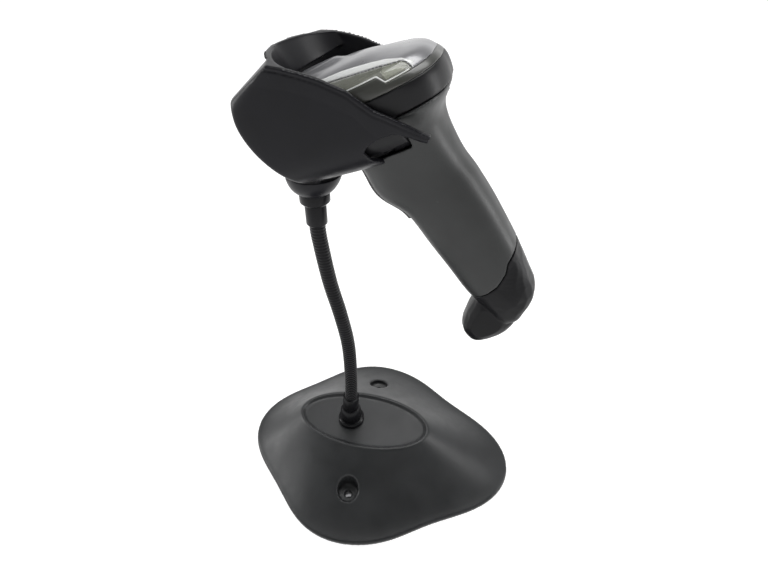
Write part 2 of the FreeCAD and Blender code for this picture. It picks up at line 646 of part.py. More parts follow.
def make_head():
    outer = head_solid(0, 0)
    big, wall = 90, size("shell_wall")
    upper_hollow = head_solid(wall, wall).common(block(-big, big, -big, big, 0, 40))
    lower_hollow = head_solid(wall, -wall).common(block(-big, big, -big, big, -40, 0))
    shell = outer.cut(upper_hollow).cut(lower_hollow)
    bumper_low, chin_low = size("bumper_low"), size("chin_low")
    step = size("step_y")
    lower_space = block(-big, big, -big, step, chin_low - 5, 0).fuse(
        block(-big, big, step - 1, big, bumper_low, 0))
    lower = shell.common(lower_space)
    floor = outer.common(block(-big, big, -big, step, chin_low, chin_low + wall).fuse(
        block(-big, big, step - wall, step, chin_low, bumper_low)))
    wire_way = rod(9, (0, 0, -40), (0, 0, -20))
    lower = lower.fuse(floor).cut(wire_way)
    above_seam = side_prism(COVER_SEAM + [(90, 40), (-90, 40)], big)
    cover = shell.common(above_seam)
    band = shell.common(block(-big, big, -big, big, 0, 20)).cut(above_seam)

    screws = []
    column_top, head_seat = -0.3, -8.0
    for x, y in COLUMN_PLACES:
        lower = lower.fuse(rod(3.6, (x, y, chin_low), (x, y, column_top)).common(outer))
        out = math.copysign(1, x)
        lug = block(min(x - 3 * out, x + 9 * out), max(x - 3 * out, x + 9 * out), y - 3, y + 3, 0, 4.5)
        band = band.fuse(lug.common(outer))
        screw = rod(2.5, (x, y, head_seat - 2), (x, y, head_seat)).fuse(
            rod(1.2, (x, y, head_seat), (x, y, 3.5))).removeSplitter()
        screws.append(screw)
        lower = lower.cut(rod(2.6, (x, y, -40), (x, y, head_seat))).cut(screw)
        band = band.cut(screw)

    nose_hole = block(-25, 25, -60, -40, -18, 3.5)
    lower = lower.cut(nose_hole)
    band = band.cut(nose_hole)
    windows = []
    for side in (1, -1):
        half_space = block(min(14 * side, 45 * side), max(14 * side, 45 * side), -60, 60, 0, 20)
        prism = side_prism(WINDOW_SIDE_VIEW, 40).common(half_space)
        windows.append(shell.common(prism))
        cover = cover.cut(prism)
        band = band.cut(prism)
    finish_part(formed("lower_form", lower), "lower_shell", SCANNER)
    finish_part(formed("band_form", band), "band_shell", SCANNER)
    finish_part(formed("cover_form", cover), "top_cover", SCANNER)
    finish_part(formed("window_right_form", windows[0]), "side_window_right", SCANNER)
    finish_part(formed("window_left_form", windows[1]), "side_window_left", SCANNER)
    finish_part(grouped("head_screw_set", screws), "head_screws", SCANNER)

    room = head_solid(wall + 0.4, wall + 0.2)
    for side, name in ((1, "indicator_block_right"), (-1, "indicator_block_left")):
        cube = block(min(16 * side, 34 * side), max(16 * side, 34 * side), 18.5, 27.5, 3.4, 8.6)
        finish_part(formed(name + "_form", cube.common(room)), name, SCANNER)

    bezel = nose_hole.common(outer).common(block(-25, 25, -60, -44.5, -18, 3.5))
    bezel = bezel.cut(block(-21, 21, -60, -40, -14.5, 0.0)).cut(block(-22.5, 22.5, -46.5, -40, -16, 1.5))
    finish_part(formed("bezel_form", bezel), "nose_bezel", SCANNER)
    padded("scan_window", SCANNER, "XZ_Plane", box_corners(-22.4, 22.4, -15.9, 1.4), "1.4 mm", "45.0 mm")


# --------------------------------------------------------------- scan engine etc.


def make_engine():
    padded("engine_housing", SCANNER, "XZ_Plane", box_corners(-15, 15, -14, -1), "16 mm", "22 mm",
           [("0 mm", "-7.5 mm", "4.7 mm"), ("-10 mm", "-7.5 mm", "2.2 mm")])
    for name, x, radius, rim in (("camera_lens", 0, 4.6, 1.0), ("aimer_lens", -10, 2.1, 0.5)):
        body = turned(name, FreeCAD.Placement(), [
            ("0 mm", "0 mm"), (f"{radius} mm", "0 mm"), (f"{radius} mm", "8 mm"),
            (f"{radius - rim} mm", "9 mm"), ("0 mm", f"{9 - rim / 2} mm"),
        ])
        body.Placement = SCANNER.multiply(at(x, -30.5, -7.5, (1, 0, 0), 90))
    lamps = []
    for x in (8.5, 12.5):
        for z in (-10.5, -4.5):
            front_half = block(x - 2, x + 2, -40, -38, z - 2, z + 2)
            lamps.append(Part.makeSphere(1.5, Vector(x, -38, z)).common(front_half))
    finish_part(grouped("lamp_set", lamps), "illumination_leds", SCANNER)
    padded("engine_bracket", SCANNER, "XZ_Plane",
           [("-17 mm", "-1 mm"), ("17 mm", "-1 mm"), ("17 mm", "4.5 mm"), ("15.6 mm", "4.5 mm"),
            ("15.6 mm", "0.4 mm"), ("-15.6 mm", "0.4 mm"), ("-15.6 mm", "4.5 mm"), ("-17 mm", "4.5 mm")],
           "14 mm", "20 mm")
    padded("main_board", SCANNER, "XY_Plane", box_corners(-22.5, 22.5, -31.5, 11.5),
           "sizes.board_thick * 1 mm", "4.5 mm")
    padded("processor", SCANNER, "XY_Plane", box_corners(-8, 5, -26, -13), "1.4 mm", "6.1 mm")
    padded("radio_module", SCANNER, "XY_Plane", box_corners(7, 18, -23, -6), "2.2 mm", "6.1 mm")
    turned("beeper", SCANNER.multiply(at(-11, -2, 6.1)), [
        ("0 mm", "0 mm"), ("5 mm", "0 mm"), ("5 mm", "3 mm"),
        ("1 mm", "3 mm"), ("1 mm", "2.2 mm"), ("0 mm", "2.2 mm")])
    ribbon = side_prism([(-22, -7), (-21.6, -7), (-18, 2.5), (-18, 4.5), (-18.4, 4.5), (-18.4, 2.6)], 6)
    finish_part(formed("ribbon_form", ribbon), "engine_ribbon", SCANNER)


# ---------------------------------------------------------------------- the grip

GRIP_LEVELS = [
    # level, half width, front, back
    (-10.5, 32.6, -9.0, 39.6),
    (-18.0, 28.6, -13.5, 34.6),
    (-27.0, 24.5, -15.8, 32.0),
    (-38.0, 21.5, -15.4, 32.8),
    (-48.0, 19.8, -14.8, 34.6),
    (-55.0, 19.0, -11.5, 36.8),
    (-62.0, 18.6, -6.0, 38.4),
    (-70.0, 18.3, -3.0, 40.1),
    (-85.0, 17.9, 0.2, 42.5),
    (-105.0, 17.3, 5.0, 45.0),
    (-122.0, 16.8, 9.0, 46.4),
    (-132.0, 16.0, 12.5, 46.8),
    (-142.0, 14.5, 16.0, 42.2),
    (-150.0, 11.5, 20.0, 34.8),
]
GRIP_SQUARENESS = 2.6
CAP_SEAM = [
    (49.5, -98.0), (43.0, -103.5), (38.5, -107.0), (36.3, -112.0), (29.5, -119.0), (22.5, -122.5),
    (14.0, -125.2), (-20.0, -129.0), (-20.0, -185.0), (70.0, -185.0), (70.0, -94.0),
]
BEAK_OUTLINE = [
    (14.0, -128.5), (5.4, -138.0), (-1.2, -146.0), (-3.4, -153.4), (-1.2, -161.4), (5.0, -164.4),
    (17.4, -162.4), (27.8, -156.4), (31.6, -147.5), (27.0, -134.0),
]
BEAK_HALF = 12.5


def grip_solid(inset):
    return skin([plan_outline(level, half, front, back, GRIP_SQUARENESS, inset)
                 for level, half, front, back in GRIP_LEVELS])


def beak_solid():
    """The rounded toe below the battery cap."""
    middle = Vector(0, 13.0, -147.0)
    wires = []
    for share in (-1.0, -0.9, -0.62, 0.0, 0.62, 0.9, 1.0):
        scale = 0.55 + 0.45 * (1 - abs(share) ** 3.5)
        curve = []
        for y, z in BEAK_OUTLINE:
            curve.append(Vector(share * BEAK_HALF, 0, 0) + middle + (Vector(0, y, z) - middle) * scale)
        wires.append(spline_wire(curve))
    return skin(wires)


def make_grip():
    outer = grip_solid(0)
    hollow = grip_solid(size("shell_wall"))
    shell = outer.cut(hollow)
    gap, step, big = size("seam_gap"), size("step_y"), 90
    upper = block(-big, big, -big, big, -185, size("chin_low") - gap).fuse(
        block(-big, big, step + gap, big, -60, size("bumper_low") - gap))
    seam_lifted = side_prism([(y, z + gap) for y, z in CAP_SEAM], 60)
    grip = shell.common(upper).cut(seam_lifted)
    tongue = grip_solid(1.6).cut(grip_solid(3.2)).common(block(-big, big, step + 2 * gap, big, -14, -10.6))
    grip = grip.fuse([tongue, tongue.translated(Vector(0, 0, 2.2)).cut(grip_solid(0))])
    half, top, end = size("trigger_half"), size("trigger_top"), size("trigger_end")
    slot_side, slot_end = half + 0.5, 0.7
    grip = grip.cut(block(-slot_side, slot_side, -40, 8, end - slot_end, top + slot_end))
    finish_part(formed("grip_form", max(grip.Solids, key=lambda solid: solid.Volume)), "grip_shell", SCANNER)

    cap = outer.cut(hollow.common(block(-big, big, -big, big, -130, 0))).common(side_prism(CAP_SEAM, 60))
    cap = max(cap.Solids, key=lambda solid: solid.Volume).fuse(beak_solid()).removeSplitter()
    contacts = []
    for x in (-5, 5):
        contacts.append(rod(1.6, (x, 12, -163.5), (x, 12, -158)).common(cap))
    for contact in contacts:
        cap = cap.cut(contact)
    finish_part(formed("cap_form", cap), "battery_cap", SCANNER)
    finish_part(grouped("contact_set", contacts), "charge_contacts", SCANNER)


def make_trigger():
    half, top, end = size("trigger_half"), size("trigger_top"), size("trigger_end")
    proud = size("trigger_proud")
    paddle = grip_solid(-proud).cut(grip_solid(1.0)).common(block(-half, half, -40, 8, end, top))
    paddle = max(paddle.Solids, key=lambda solid: solid.Volume)
    y, z, pin = size("pivot_y"), size("pivot_z"), size("pin_rad")
    boss = rod(2.8, (-8, y, z), (2.5, y, z)).fuse(block(-8, 2.5, -15.2, y, z - 1.5, z + 1.5))
    post = block(-2.5, 2.5, -13.4, -5.7, -57, -54)
    trigger = paddle.fuse([boss, post]).cut(rod(pin + 0.05, (-9, y, z), (9, y, z)))
    finish_part(formed("trigger_form", trigger.removeSplitter()), "trigger", SCANNER)
    reach = 12.0
    pin_body = turned("trigger_pin", FreeCAD.Placement(), [
        ("0 mm", f"-{reach} mm"), ("sizes.pin_rad * 1 mm", f"-{reach} mm"),
        ("sizes.pin_rad * 1 mm", f"{reach} mm"), ("0 mm", f"{reach} mm")])
    pin_body.Placement = SCANNER.multiply(at(0, y, z, (0, 1, 0), 90))

    ears = block(9.7, 11.4, y - 2.6, 4, z - 3, z + 3).fuse(block(-11.4, -9.7, y - 2.6, 4, z - 3, z + 3))
    frame = block(-11.4, 11.4, 2, 4, -68, z + 3).fuse(ears).cut(rod(pin, (-13, y, z), (13, y, z)))
    finish_part(formed("frame_form", frame.removeSplitter()), "trigger_frame", SCANNER)

    coil, wire = 2.0, 0.3
    helix = Part.makeHelix(0.75, 4.5, coil)
    section = Part.Wire(Part.makeCircle(wire, Vector(coil, 0, 0), Vector(0, 1, 0)))
    winding = Part.Wire(helix.Edges).makePipeShell([section], True, True)
    coil_place = SCANNER.multiply(at(3.2, y, z, (0, 1, 0), 90))
    finish_part(formed("spring_form", winding), "trigger_spring", coil_place)

    padded("switch_board", SCANNER, "XZ_Plane", box_corners(-8, 8, -62, -42),
           "sizes.board_thick * 1 mm", "-2 mm")
    body = block(-3, 3, -4, 0.4, -58.5, -52.5).cut(rod(1.3, (0, -5, -55.5), (0, -0.2, -55.5)))
    finish_part(formed("switch_form", body), "trigger_switch", SCANNER)
    plunger = turned("switch_plunger", FreeCAD.Placement(), [
        ("0 mm", "0 mm"), ("1.2 mm", "0 mm"), ("1.2 mm", "3.1 mm"), ("0.7 mm", "3.5 mm"), ("0 mm", "3.5 mm")])
    plunger.Placement = SCANNER.multiply(at(0, -2, -55.5, (1, 0, 0), 90))


def make_battery():
    lean = FreeCAD.Rotation(Vector(1, 0, 0), size("cell_tilt"))
    middle = FreeCAD.Placement(Vector(0, size("cell_y"), size("cell_z")), lean)
    cell_place = SCANNER.multiply(middle)
    half = "sizes.cell_long / 2"
    turned("battery_cell", cell_place, [
        ("0 mm", f"-({half}) * 1 mm"), ("(sizes.cell_rad - 0.8) * 1 mm", f"-({half}) * 1 mm"),
        ("sizes.cell_rad * 1 mm", f"(-({half}) + 0.8) * 1 mm"),
        ("sizes.cell_rad * 1 mm", f"({half} - 0.8) * 1 mm"),
        ("(sizes.cell_rad - 0.8) * 1 mm", f"{half} * 1 mm"), ("0 mm", f"{half} * 1 mm")])
    top = size("cell_long") / 2
    helix = Part.makeHelix(1.3, 3.9, 3.4)
    section = Part.Wire(Part.makeCircle(0.4, Vector(3.4, 0, 0), Vector(0, 1, 0)))
    spring = Part.Wire(helix.Edges).makePipeShell([section], True, True)
    spring_place = cell_place.multiply(at(0, 0, top + 0.5))
    finish_part(formed("battery_spring_form", spring), "battery_spring", spring_place)
    turned("contact_plate", cell_place, [
        ("0 mm", f"{top + 4.9} mm"), ("8 mm", f"{top + 4.9} mm"),
        ("8 mm", f"{top + 6.5} mm"), ("0 mm", f"{top + 6.5} mm")])


make_base()
neck_end = make_neck()
make_cradle(*neck_end)
make_head()
make_engine()
make_grip()
make_trigger()
make_battery()
doc.recompute()

os.makedirs("parts", exist_ok=True)
for item in doc.Objects:
    if "Invalid" in item.State or "Error" in item.State:
        raise RuntimeError(f"{item.Name} did not compute: {item.State}")
for item in parts:
    if item.Shape.isNull() or not item.Shape.isValid():
        raise RuntimeError(f"{item.Label} has no valid shape")
for item in parts:
    item.Shape.exportStep(os.path.join("parts", item.Label + ".step"))
    print(f"{item.Label}: {item.Shape.Volume:.0f} mm3, {len(item.Shape.Solids)} solid(s)")
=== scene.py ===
import json
import math

import bmesh
import bpy
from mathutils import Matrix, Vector
from mathutils.bvhtree import BVHTree


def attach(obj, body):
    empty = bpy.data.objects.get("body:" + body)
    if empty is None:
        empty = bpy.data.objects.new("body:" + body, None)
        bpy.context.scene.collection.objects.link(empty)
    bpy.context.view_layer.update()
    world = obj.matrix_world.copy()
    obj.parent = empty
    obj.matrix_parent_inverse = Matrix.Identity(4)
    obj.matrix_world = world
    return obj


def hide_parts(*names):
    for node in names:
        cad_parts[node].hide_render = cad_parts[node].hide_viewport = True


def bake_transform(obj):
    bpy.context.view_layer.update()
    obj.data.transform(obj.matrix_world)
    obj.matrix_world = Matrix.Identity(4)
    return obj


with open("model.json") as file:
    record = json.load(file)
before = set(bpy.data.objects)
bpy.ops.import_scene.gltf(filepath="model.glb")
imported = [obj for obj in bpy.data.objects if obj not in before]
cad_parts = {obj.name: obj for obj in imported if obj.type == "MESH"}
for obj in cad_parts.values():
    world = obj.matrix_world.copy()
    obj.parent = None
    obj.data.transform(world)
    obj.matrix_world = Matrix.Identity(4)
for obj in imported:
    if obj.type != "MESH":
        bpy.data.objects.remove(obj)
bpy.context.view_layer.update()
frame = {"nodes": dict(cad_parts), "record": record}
nodes = frame["nodes"]

MM = 0.001
SAME_PLACE = 2e-6


# ------------------------------------------------------------------ the scanner's frame

SCANNER_PITCH = math.radians(25)
SCANNER_LIFT = 300.0


def head(x, y, z):
    """A point of the scanner's own frame, in millimetres, in the row frame."""
    along = math.cos(SCANNER_PITCH) * y - math.sin(SCANNER_PITCH) * z
    up = SCANNER_LIFT + math.sin(SCANNER_PITCH) * y + math.cos(SCANNER_PITCH) * z
    return Vector((x, along, up)) * MM


def in_head(point):
    """The scanner's own coordinates, in millimetres, of a point in the row frame."""
    y, z = point.y / MM, point.z / MM - SCANNER_LIFT
    return (point.x / MM,
            math.cos(SCANNER_PITCH) * y + math.sin(SCANNER_PITCH) * z,
            -math.sin(SCANNER_PITCH) * y + math.cos(SCANNER_PITCH) * z)


def read_line(line, place):
    """The value at a place along a line of (place, value) points."""
    if place <= line[0][0]:
        return line[0][1]
    for (a, low), (b, high) in zip(line, line[1:]):
        if place <= b:
            return low + (high - low) * (place - a) / (b - a)
    return line[-1][1]


def ease(low, high, value):
    """Nought below low, one above high, and smooth between."""
    share = min(1.0, max(0.0, (value - low) / (high - low)))
    return share * share * (3 - 2 * share)


# ---------------------------------------------------------------------------- materials


class Nodes:
    """A material's node tree, with short calls to fill it."""

    def __init__(self, name):
        self.material = bpy.data.materials.new(name)
        self.material.use_nodes = True
        self.tree = self.material.node_tree
        self.shader = self.tree.nodes["Principled BSDF"]
        self.place = self.add("ShaderNodeTexCoord").outputs["Object"]

    def add(self, kind, inputs=None, **settings):
        node = self.tree.nodes.new(kind)
        for key, value in settings.items():
            setattr(node, key, value)
        for key, value in (inputs or {}).items():
            self.feed(node.inputs[key], value)
        return node

    def feed(self, socket, value):
        if isinstance(value, bpy.types.NodeSocket):
            self.tree.links.new(value, socket)
        else:
            socket.default_value = value

    def noise(self, scale, detail=3.0, roughness=0.55):
        node = self.add("ShaderNodeTexNoise",
                        {"Vector": self.place, "Scale": scale, "Detail": detail, "Roughness": roughness})
        return node.outputs["Fac"]

    def spread(self, value, low, high, out_low, out_high):
        node = self.add("ShaderNodeMapRange", {"Value": value, "From Min": low, "From Max": high,
                                               "To Min": out_low, "To Max": out_high})
        return node.outputs["Result"]

    def blend(self, share, one, other):
        node = self.add("ShaderNodeMix", data_type="RGBA")
        self.feed(node.inputs[0], share)
        self.feed(node.inputs[6], one)
        self.feed(node.inputs[7], other)
        return node.outputs[2]

    def bump(self, heights):
        """Stacks bumps, each a height with its strength and its depth in metres."""
        normal = None
        for height, strength, depth in heights:
            node = self.add("ShaderNodeBump", {"Height": height, "Strength": strength, "Distance": depth})
            if normal is not None:
                self.feed(node.inputs["Normal"], normal)
            normal = node.outputs["Normal"]
        self.feed(self.shader.inputs["Normal"], normal)

    def set(self, **values):
        for key, value in values.items():
            self.feed(self.shader.inputs[key.replace("_", " ")], value)


def tint(color, factor):
    return tuple(min(1.0, part * factor) for part in color[:3]) + (1.0,)


def moulded(name, color, rough=0.45, grain=900.0, depth=0.00006, uneven=0.16, wear=1.6, coat=0.0, shine=0.0,
            mirror=0.5, painted_glow=0.0):
    """Moulded plastic: a fine spark-eroded grain, cloudy gloss and paler worn edges."""
    n = Nodes(name)
    clouds = n.noise(28.0, 4.0)
    body = n.blend(n.spread(clouds, 0.35, 0.65, 0.0, 1.0), tint(color, 1 - uneven), tint(color, 1 + uneven))
    edge = n.add("ShaderNodeNewGeometry").outputs["Pointiness"]
    worn = n.spread(edge, 0.53, 0.62, 0.0, 0.55)
    n.set(Base_Color=n.blend(worn, body, tint(color, wear)))
    speck = n.noise(grain, 2.0, 0.6)
    smear = n.noise(60.0, 5.0, 0.6)
    n.set(Roughness=n.spread(smear, 0.3, 0.7, rough - 0.05, rough + 0.07))
    n.bump([(speck, 0.35, depth), (n.noise(45.0, 2.0), 0.12, 0.0004)])
    n.shader.inputs["Metallic"].default_value = shine
    n.shader.inputs["Specular IOR Level"].default_value = mirror
    # Emission is painted light: painted_glow makes a part glow in its own colour though it is no lamp.
    n.shader.inputs["Emission Color"].default_value = color + (1.0,)
    n.shader.inputs["Emission Strength"].default_value = painted_glow
    if coat:
        n.shader.inputs["Coat Weight"].default_value = coat
        n.shader.inputs["Coat Roughness"].default_value = 0.12
    return n.material


def metal(name, color, rough=0.3, scratch=240.0):
    """Machined or plated metal with fine turned lines and a little tarnish."""
    n = Nodes(name)
    stretch = n.add("ShaderNodeMapping", {"Vector": n.place, "Scale": (1.0, 1.0, 9.0)}).outputs["Vector"]
    lines = n.add("ShaderNodeTexNoise", {"Vector": stretch, "Scale": scratch, "Detail": 3.0}).outputs["Fac"]
    tarnish = n.noise(90.0, 4.0)
    n.set(Base_Color=n.blend(n.spread(tarnish, 0.4, 0.7, 0.0, 0.6), tint(color, 1.0), tint(color, 0.7)))
    n.set(Roughness=n.spread(lines, 0.3, 0.7, rough - 0.06, rough + 0.1))
    n.shader.inputs["Metallic"].default_value = 1.0
    n.bump([(lines, 0.2, 0.00003)])
    return n.material


def coated(name, color, rough=0.35):
    """Black powder-coated metal with a soft orange-peel surface."""
    n = Nodes(name)
    peel = n.noise(420.0, 2.0)
    dust = n.noise(35.0, 5.0)
    n.set(Base_Color=n.blend(n.spread(dust, 0.45, 0.75, 0.0, 0.7), tint(color, 1.0), tint(color, 1.9)))
    n.shader.inputs["Specular IOR Level"].default_value = 0.16
    n.set(Roughness=n.spread(dust, 0.3, 0.7, rough - 0.04, rough + 0.1))
    n.bump([(peel, 0.25, 0.00008)])
    return n.material


def clear(name, color, rough=0.06, through=0.9):
    """Tinted clear plastic or glass with faint smears."""
    n = Nodes(name)
    smear = n.noise(55.0, 4.0)
    n.set(Base_Color=n.blend(n.spread(smear, 0.4, 0.7, 0.0, 0.5), tint(color, 1.0), tint(color, 0.8)))
    n.set(Roughness=n.spread(smear, 0.35, 0.75, rough, rough + 0.1))
    n.shader.inputs["Transmission Weight"].default_value = through
    n.shader.inputs["IOR"].default_value = 1.45
    n.bump([(n.noise(300.0, 2.0), 0.05, 0.00003)])
    return n.material


def circuit(name, color):
    """Solder-masked board with a grid of tracks and pads."""
    n = Nodes(name)
    tracks = n.add("ShaderNodeTexBrick", {"Vector": n.place, "Scale": 220.0, "Color1": tint(color, 1.0),
                                          "Color2": tint(color, 1.3), "Mortar": (0.10, 0.24, 0.08, 1.0),
                                          "Mortar Size": 0.06}, offset=0.35)
    pads = n.add("ShaderNodeTexVoronoi", {"Vector": n.place, "Scale": 420.0}).outputs["Distance"]
    shine = n.spread(pads, 0.10, 0.16, 1.0, 0.0)
    n.set(Base_Color=n.blend(shine, tracks.outputs["Color"], (0.75, 0.62, 0.3, 1.0)))
    n.set(Roughness=n.spread(n.noise(90.0), 0.3, 0.7, 0.3, 0.45))
    n.bump([(tracks.outputs["Fac"], 0.3, 0.00004)])
    return n.material


def ribbed_rubber(name, color):
    """Rubber with small moulded ridges and a dusty bloom."""
    n = Nodes(name)
    ridge = n.add("ShaderNodeTexWave", {"Vector": n.place, "Scale": 160.0, "Distortion": 0.4}).outputs["Fac"]
    bloom = n.noise(60.0, 5.0)
    n.set(Base_Color=n.blend(n.spread(bloom, 0.45, 0.8, 0.0, 0.8), tint(color, 1.0), tint(color, 2.2)))
    n.set(Roughness=n.spread(bloom, 0.3, 0.7, 0.75, 0.9))
    n.bump([(ridge, 0.5, 0.0003), (n.noise(700.0), 0.2, 0.00006)])
    return n.material


finishes = {
    "base_plastic": moulded("base_plastic", (0.018, 0.019, 0.020), rough=0.42, grain=1100.0, mirror=0.42),
    "ballast_steel": metal("ballast_steel", (0.35, 0.35, 0.36), rough=0.4),
    "pad_rubber": ribbed_rubber("pad_rubber", (0.02, 0.02, 0.021)),
    "screw_steel": metal("screw_steel", (0.5, 0.5, 0.52), rough=0.28),
    "collar_black": coated("collar_black", (0.006, 0.006, 0.007), rough=0.25),
    "ferrule_black": coated("ferrule_black", (0.006, 0.006, 0.007), rough=0.3),
    "neck_black": coated("neck_black", (0.006, 0.006, 0.007), rough=0.3),
    "cradle_plastic": moulded("cradle_plastic", (0.007, 0.007, 0.009), rough=0.34, grain=1300.0,
                              depth=0.00004, mirror=0.17),
    "bumper_plastic": moulded("bumper_plastic", (0.006, 0.006, 0.007), rough=0.38, mirror=0.25),
    "band_plastic": moulded("band_plastic", (0.040, 0.041, 0.036), rough=0.32, coat=0.3),
    "cover_silver": moulded("cover_silver", (0.20, 0.20, 0.21), rough=0.3, depth=0.00001, uneven=0.04,
                            wear=1.15, coat=0.5, shine=0.35),
    "window_smoke": clear("window_smoke", (0.44, 0.45, 0.39), through=0.72),
    # the indicator blocks get a painted glow, so they look brighter than the lamps alone would make them
    "indicator_white": moulded("indicator_white", (0.78, 0.80, 0.76), rough=0.3, uneven=0.05, wear=1.1,
                               coat=0.4, painted_glow=0.35),
    "scan_glass": clear("scan_glass", (0.10, 0.015, 0.02), through=0.8),
    "engine_plastic": moulded("engine_plastic", (0.02, 0.02, 0.021), rough=0.55),
    "lens_glass": clear("lens_glass", (0.35, 0.4, 0.5), rough=0.02),
    "led_resin": moulded("led_resin", (0.8, 0.78, 0.66), rough=0.2, uneven=0.05, wear=1.1),
    "bracket_steel": metal("bracket_steel", (0.45, 0.45, 0.47)),
    "board_green": circuit("board_green", (0.02, 0.16, 0.07)),
    "chip_black": moulded("chip_black", (0.02, 0.02, 0.022), rough=0.5),
    "shield_tin": metal("shield_tin", (0.62, 0.62, 0.6), rough=0.35),
    "ribbon_film": moulded("ribbon_film", (0.5, 0.26, 0.05), rough=0.3, wear=1.2),
    "grip_plastic": moulded("grip_plastic", (0.017, 0.018, 0.018), rough=0.42, grain=1000.0,
                            depth=0.00008, mirror=0.42),
    "trigger_plastic": moulded("trigger_plastic", (0.022, 0.023, 0.023), rough=0.38),
    "spring_steel": metal("spring_steel", (0.55, 0.55, 0.55), rough=0.25),
    "cell_wrap": moulded("cell_wrap", (0.05, 0.09, 0.2), rough=0.28, wear=1.2, coat=0.4),
    "cap_plastic": moulded("cap_plastic", (0.004, 0.004, 0.005), rough=0.38, grain=1200.0, mirror=0.16),
    "contact_gold": metal("contact_gold", (0.75, 0.58, 0.28), rough=0.2),
}
# painted highlight: a pale, glossy colour for thin strips laid where the head catches the light
painted_highlight_silver = moulded("painted_highlight_silver", (0.62, 0.63, 0.62), rough=0.2, uneven=0.04, wear=1.1, coat=0.5)


# ------------------------------------------------------------------------- mesh helpers

slots = {part["node"]: part["material_slot"] for part in frame["record"]["subparts"]}
bodies = frame["record"]["behaviour"]["bodies"]
body_of_node = {node: body for body, members in bodies.items() for node in members}


def settle(obj):
    """The object with its modifiers applied."""
    bpy.context.view_layer.update()
    done = bpy.data.meshes.new_from_object(obj.evaluated_get(bpy.context.evaluated_depsgraph_get()))
    obj.modifiers.clear()
    old = obj.data
    obj.data = done
    bpy.data.meshes.remove(old)
    return obj


def new_piece(name, mesh, material):
    obj = bpy.data.objects.new(name, mesh)
    bpy.context.scene.collection.objects.link(obj)
    mesh.materials.clear()
    mesh.materials.append(material)
    return obj


def cast(name, node, voxel, rounds):
    """A piece with rounded edges, cast from a CAD solid: remeshed evenly, then smoothed."""
    shape = bmesh.new()
    shape.from_mesh(nodes[node].data)
    bmesh.ops.remove_doubles(shape, verts=shape.verts, dist=SAME_PLACE)
    mesh = bpy.data.meshes.new(name)
    shape.to_mesh(mesh)
    shape.free()
    obj = new_piece(name, mesh, finishes[slots[node]])
    remesh = obj.modifiers.new("even", "REMESH")
    remesh.mode = "VOXEL"
    remesh.voxel_size = voxel * MM
    soften = obj.modifiers.new("soften", "SMOOTH")
    soften.factor = 0.5
    soften.iterations = rounds
    settle(obj)
    obj.data.materials.clear()
    obj.data.materials.append(finishes[slots[node]])
    obj.data.shade_smooth()
    return obj


def take_over(obj, node):
    """The piece stands for the CAD node and rides on its body."""
    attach(obj, body_of_node[node])
    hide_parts(node)


def push(obj, how_far):
    """Moves each vertex along its normal by how_far(vertex place, normal), in millimetres."""
    mesh = obj.data
    moved = [vertex.co + vertex.normal * how_far(vertex.co, vertex.normal) * MM for vertex in mesh.vertices]
    for vertex, place in zip(mesh.vertices, moved):
        vertex.co = place
    mesh.update()


def strip_on(name, target, lower, upper, side, across, material, proud=0.12):
    """A thin strip laid on a surface, between two side-view lines in the scanner's frame."""
    tree = BVHTree.FromObject(target, bpy.context.evaluated_depsgraph_get())
    reach = Vector((1, 0, 0)) * side
    shape = bmesh.new()
    rows = []
    for low, high in zip(lower, upper):
        row = []
        for i in range(across + 1):
            share = i / across
            y, z = low[0] + (high[0] - low[0]) * share, low[1] + (high[1] - low[1]) * share
            hit, normal, _, _ = tree.ray_cast(head(60 * side, y, z), -reach)
            if hit is None:
                continue
            if normal.x * side < 0:
                normal = -normal
            row.append(shape.verts.new(hit + normal * proud * MM))
        if len(row) == across + 1:
            rows.append(row)
    for one, two in zip(rows, rows[1:]):
        for i in range(across):
            corners = (one[i], two[i], two[i + 1], one[i + 1])
            shape.faces.new(corners if side > 0 else corners[::-1])
    mesh = bpy.data.meshes.new(name)
    shape.to_mesh(mesh)
    shape.free()
    obj = new_piece(name, mesh, material)
    thick = obj.modifiers.new("thick", "SOLIDIFY")
    thick.thickness = (proud + 0.25) * MM
    thick.offset = -1
    settle(obj)
    obj.data.shade_smooth()
    return obj


def sampled(line, steps):
    """Evenly spread points along a line of points."""
    lengths = [math.dist(a, b) for a, b in zip(line, line[1:])]
    total, spots = sum(lengths), []
    for i in range(steps + 1):
        left, k = total * i / steps, 0
        while k < len(lengths) - 1 and left > lengths[k]:
            left -= lengths[k]
            k += 1
        share = min(1.0, left / lengths[k])
        a, b = line[k], line[k + 1]
        spots.append(tuple(a[j] + (b[j] - a[j]) * share for j in range(len(a))))
    return spots


# ------------------------------------------------------------------------ the base cover

cover_piece = cast("base_cover_shell", "base_cover", 0.9, 7)
take_over(cover_piece, "base_cover")

# --------------------------------------------------------------------- the flexible neck

NECK_RADIUS = 4.85
RIB_PITCH = 2.1
RIB_DEPTH = 0.55
NECK_LINE = [(-17.9, 56.0), (-16.8, 66.0), (-15.9, 95.0), (-16.6, 124.0), (-20.6, 151.0), (-26.0, 178.0),
             (-30.2, 212.0), (-30.7, 224.0)]


def neck_path(z):
    """The neck's place along Y at a height, smooth through the line's points."""
    line = NECK_LINE
    k = 0
    while k < len(line) - 2 and z > line[k + 1][1]:
        k += 1

    def lean(i):
        a, b = line[max(0, i - 1)], line[min(len(line) - 1, i + 1)]
        return (b[0] - a[0]) / (b[1] - a[1])
    (y0, z0), (y1, z1) = line[k], line[k + 1]
    gap = z1 - z0
    share = (z - z0) / gap
    square, cube = share ** 2, share ** 3
    return ((2 * cube - 3 * square + 1) * y0 + (cube - 2 * square + share) * gap * lean(k)
            + (3 * square - 2 * cube) * y1 + (cube - square) * gap * lean(k + 1))


